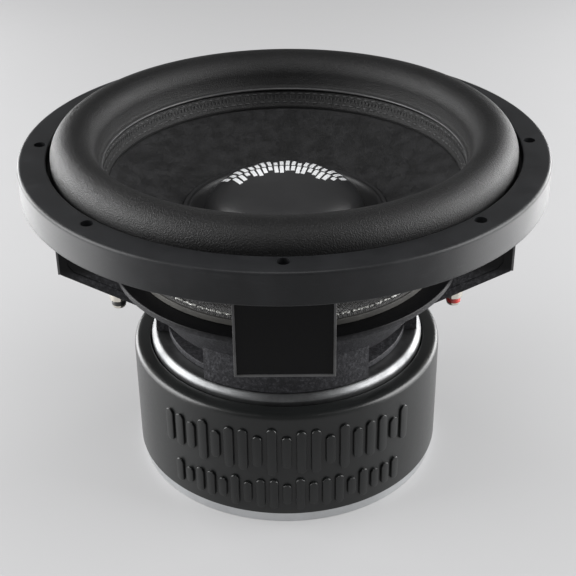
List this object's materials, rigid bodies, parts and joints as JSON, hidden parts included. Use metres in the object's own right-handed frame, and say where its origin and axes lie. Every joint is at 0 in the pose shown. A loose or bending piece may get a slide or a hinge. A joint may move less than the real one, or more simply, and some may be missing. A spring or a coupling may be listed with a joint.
{
  "type": "car subwoofer driver",
  "caption": "Deep car subwoofer driver with a tall foam surround, a domed cone, a four-armed black basket, push terminals and a rubber-booted magnet stack.",
  "frame": {"origin": "centre of the underside of the back plate, on the surface that the driver stands on", "axes": "+Z along the cone's travel, towards the listener; -Y is the front, midway between the terminal arms, which lie along +X and -X"},
  "size_m": [0.32, 0.32, 0.2279],
  "materials": {
    "zinc_plate": "bright zinc plating over turned steel",
    "turned_steel": "turned low-carbon steel",
    "ferrite": "sintered ferrite, matt dark grey",
    "bare_aluminium": "bare aluminium",
    "boot_rubber": "satin moulded rubber",
    "black_casting": "cast aluminium with satin black powder coat",
    "trim_rubber": "satin dark grey moulded rubber",
    "spacer_board": "phenolic board with a bead of pale glue",
    "cone_paper": "pressed black paper, faintly mottled",
    "copper_wire": "enamelled copper wire",
    "roll_foam": "satin black foam rubber, stitched at its inner band",
    "spider_cloth": "treated woven cloth, dark grey",
    "terminal_plastic": "glass-filled black plastic",
    "nickel": "nickel plate",
    "red_cap": "red moulded plastic",
    "black_cap": "black moulded plastic",
    "spring_steel": "spring steel wire",
    "brass_tab": "tinned brass",
    "tinsel_braid": "tinsel braid round a textile core",
    "black_oxide": "black oxide steel"
  },
  "bodies": {
    "chassis": {"back_plate": "zinc_plate", "pole_piece": "turned_steel", "magnet_1": "ferrite", "magnet_2": "ferrite", "magnet_3": "ferrite", "shorting_ring": "bare_aluminium", "top_plate": "zinc_plate", "magnet_boot": "boot_rubber", "basket": "black_casting", "trim_ring": "trim_rubber", "spider_spacer": "spacer_board", "basket_screw_1": "black_oxide", "basket_screw_2": "black_oxide", "basket_screw_3": "black_oxide", "basket_screw_4": "black_oxide", "basket_screw_5": "black_oxide", "basket_screw_6": "black_oxide", "basket_screw_7": "black_oxide", "basket_screw_8": "black_oxide", "terminal_block_right": "terminal_plastic", "terminal_block_left": "terminal_plastic", "terminal_barrel_right_front": "nickel", "terminal_barrel_right_back": "nickel", "terminal_barrel_left_front": "nickel", "terminal_barrel_left_back": "nickel", "terminal_spring_right_front": "spring_steel", "terminal_spring_right_back": "spring_steel", "terminal_spring_left_front": "spring_steel", "terminal_spring_left_back": "spring_steel", "solder_tab_right_front": "brass_tab", "solder_tab_right_back": "brass_tab", "solder_tab_left_front": "brass_tab", "solder_tab_left_back": "brass_tab"},
    "cone_assembly": {"cone": "cone_paper", "dust_cap": "cone_paper", "coil_former": "bare_aluminium", "voice_coil_lower": "copper_wire", "voice_coil_upper": "copper_wire", "surround": "roll_foam", "spider": "spider_cloth", "tinsel_lead_right_front": "tinsel_braid", "tinsel_lead_right_back": "tinsel_braid", "tinsel_lead_left_front": "tinsel_braid", "tinsel_lead_left_back": "tinsel_braid"},
    "push_cap_right_front": {"push_cap_right_front": "red_cap"},
    "push_cap_right_back": {"push_cap_right_back": "black_cap"},
    "push_cap_left_front": {"push_cap_left_front": "black_cap"},
    "push_cap_left_back": {"push_cap_left_back": "red_cap"}
  },
  "joints": [
    {"name": "cone_travel", "type": "slide", "parent": "chassis", "child": "cone_assembly", "axis": [0, 0, 1], "range_m": [-0.018, 0.018], "stiffness_N_per_m": 9000, "deforming": ["surround", "spider", "tinsel_lead_right_front", "tinsel_lead_right_back", "tinsel_lead_left_front", "tinsel_lead_left_back"]},
    {"name": "push_right_front", "type": "slide", "parent": "chassis", "child": "push_cap_right_front", "axis": [0, 0, 1], "range_m": [0, 0.004], "stiffness_N_per_m": 900, "springref_m": -0.002, "deforming": ["terminal_spring_right_front"]},
    {"name": "push_right_back", "type": "slide", "parent": "chassis", "child": "push_cap_right_back", "axis": [0, 0, 1], "range_m": [0, 0.004], "stiffness_N_per_m": 900, "springref_m": -0.002, "deforming": ["terminal_spring_right_back"]},
    {"name": "push_left_front", "type": "slide", "parent": "chassis", "child": "push_cap_left_front", "axis": [0, 0, 1], "range_m": [0, 0.004], "stiffness_N_per_m": 900, "springref_m": -0.002, "deforming": ["terminal_spring_left_front"]},
    {"name": "push_left_back", "type": "slide", "parent": "chassis", "child": "push_cap_left_back", "axis": [0, 0, 1], "range_m": [0, 0.004], "stiffness_N_per_m": 900, "springref_m": -0.002, "deforming": ["terminal_spring_left_back"]}
  ]
}
